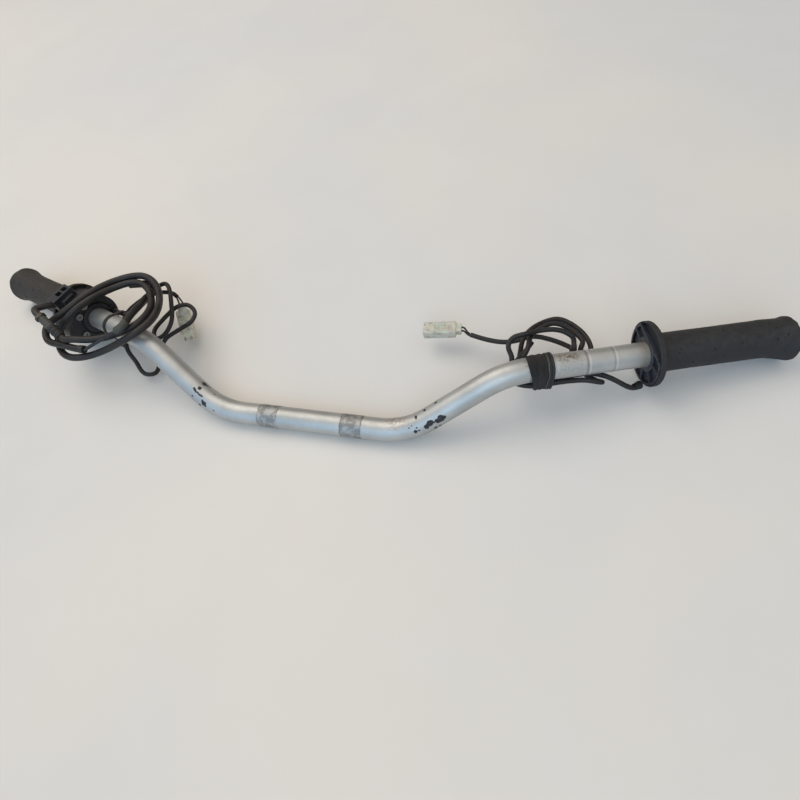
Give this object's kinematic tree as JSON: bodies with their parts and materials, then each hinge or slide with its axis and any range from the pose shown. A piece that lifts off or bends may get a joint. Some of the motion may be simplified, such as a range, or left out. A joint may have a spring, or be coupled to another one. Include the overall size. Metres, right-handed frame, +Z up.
{
  "type": "motorcycle handlebar",
  "caption": "Bent tubular motorcycle handlebar with heated rubber grips, a twist throttle and its housing, coiled throttle and heater cables, tape, tie and plug connectors.",
  "frame": {"origin": "on the tube's axis at the middle of the straight clamp section", "axes": "+X towards the rider's left hand along the clamp section, +Y back towards the rider, +Z up"},
  "size_m": [0.8472, 0.1649, 0.0821],
  "materials": {
    "painted_tube": "satin silver paint over steel, chipped to dark metal at the bends",
    "grip_rubber": "matt moulded rubber with fine pock marks",
    "grip_core_plastic": "moulded black nylon",
    "heater_foil": "amber film over thin metal tracks",
    "housing_plastic": "black glass-filled nylon with a fine grain",
    "screw_steel": "zinc plated steel, slightly worn",
    "elbow_metal": "black coated steel pipe",
    "adjuster_plastic": "dusty grey-green plastic",
    "boot_rubber": "soft black rubber",
    "cable_jacket": "black extruded plastic jacket, semi-gloss",
    "heater_jacket": "black PVC cable jacket",
    "ferrule_metal": "dull plated steel",
    "liner_plastic": "smooth thin plastic liner",
    "wire_steel": "twisted steel wire",
    "nipple_brass": "cast zinc-brass nipple",
    "nylon_connector": "aged translucent natural nylon",
    "terminal_brass": "tin-bronze terminals",
    "wire_insulation": "thin black insulation",
    "friction_tape": "dark cloth tape, frayed edges",
    "strap_rubber": "black rubber strap",
    "tie_nylon": "black nylon tie"
  },
  "bodies": {
    "bar_assembly": {"handlebar_tube": "painted_tube", "left_grip_core": "grip_core_plastic", "left_heater_element": "heater_foil", "left_grip_rubber": "grip_rubber", "left_cable_grommet": "boot_rubber", "left_heater_cable": "heater_jacket", "left_heater_wires": "wire_insulation", "left_connector_housing": "nylon_connector", "left_connector_retainer": "nylon_connector", "left_connector_terminals": "terminal_brass", "cloth_tape": "friction_tape", "cable_strap": "strap_rubber", "drum_wire": "wire_steel", "throttle_housing_cover": "housing_plastic", "throttle_housing_body": "housing_plastic", "housing_screws": "screw_steel", "cable_elbow": "elbow_metal", "adjuster_nut": "ferrule_metal", "adjuster_sleeve": "adjuster_plastic", "adjuster_boot": "boot_rubber", "throttle_cable_jacket": "cable_jacket", "cable_ferrule": "ferrule_metal", "cable_liner": "liner_plastic", "cable_tail_jacket": "cable_jacket", "shrink_sleeve": "adjuster_plastic", "tail_ferrule": "ferrule_metal", "right_cable_grommet": "boot_rubber", "right_heater_cable": "heater_jacket", "right_heater_wires": "wire_insulation", "right_connector_housing": "nylon_connector", "right_connector_retainer": "nylon_connector", "right_connector_terminals": "terminal_brass", "cable_tie": "tie_nylon"},
    "throttle_grip": {"throttle_tube": "grip_core_plastic", "throttle_heater_element": "heater_foil", "throttle_grip_rubber": "grip_rubber", "drum_nipple": "nipple_brass"},
    "cable_wire_end": {"pull_wire": "wire_steel"}
  },
  "joints": [
    {"name": "throttle_twist", "type": "hinge", "parent": "bar_assembly", "child": "throttle_grip", "pos_m": [-0.34941, 0.11071, 0.01869], "axis": [-0.9285, 0.349, -0.1271], "range_deg": [0, 75]},
    {"name": "cable_pull", "type": "slide", "parent": "bar_assembly", "child": "cable_wire_end", "axis": [0.992, 0.124, 0.023], "range_m": [0, 0.01937]}
  ],
  "couplings": [
    {"joint": "cable_pull", "follows": "throttle_twist", "m_per_rad": 0.0148}
  ]
}
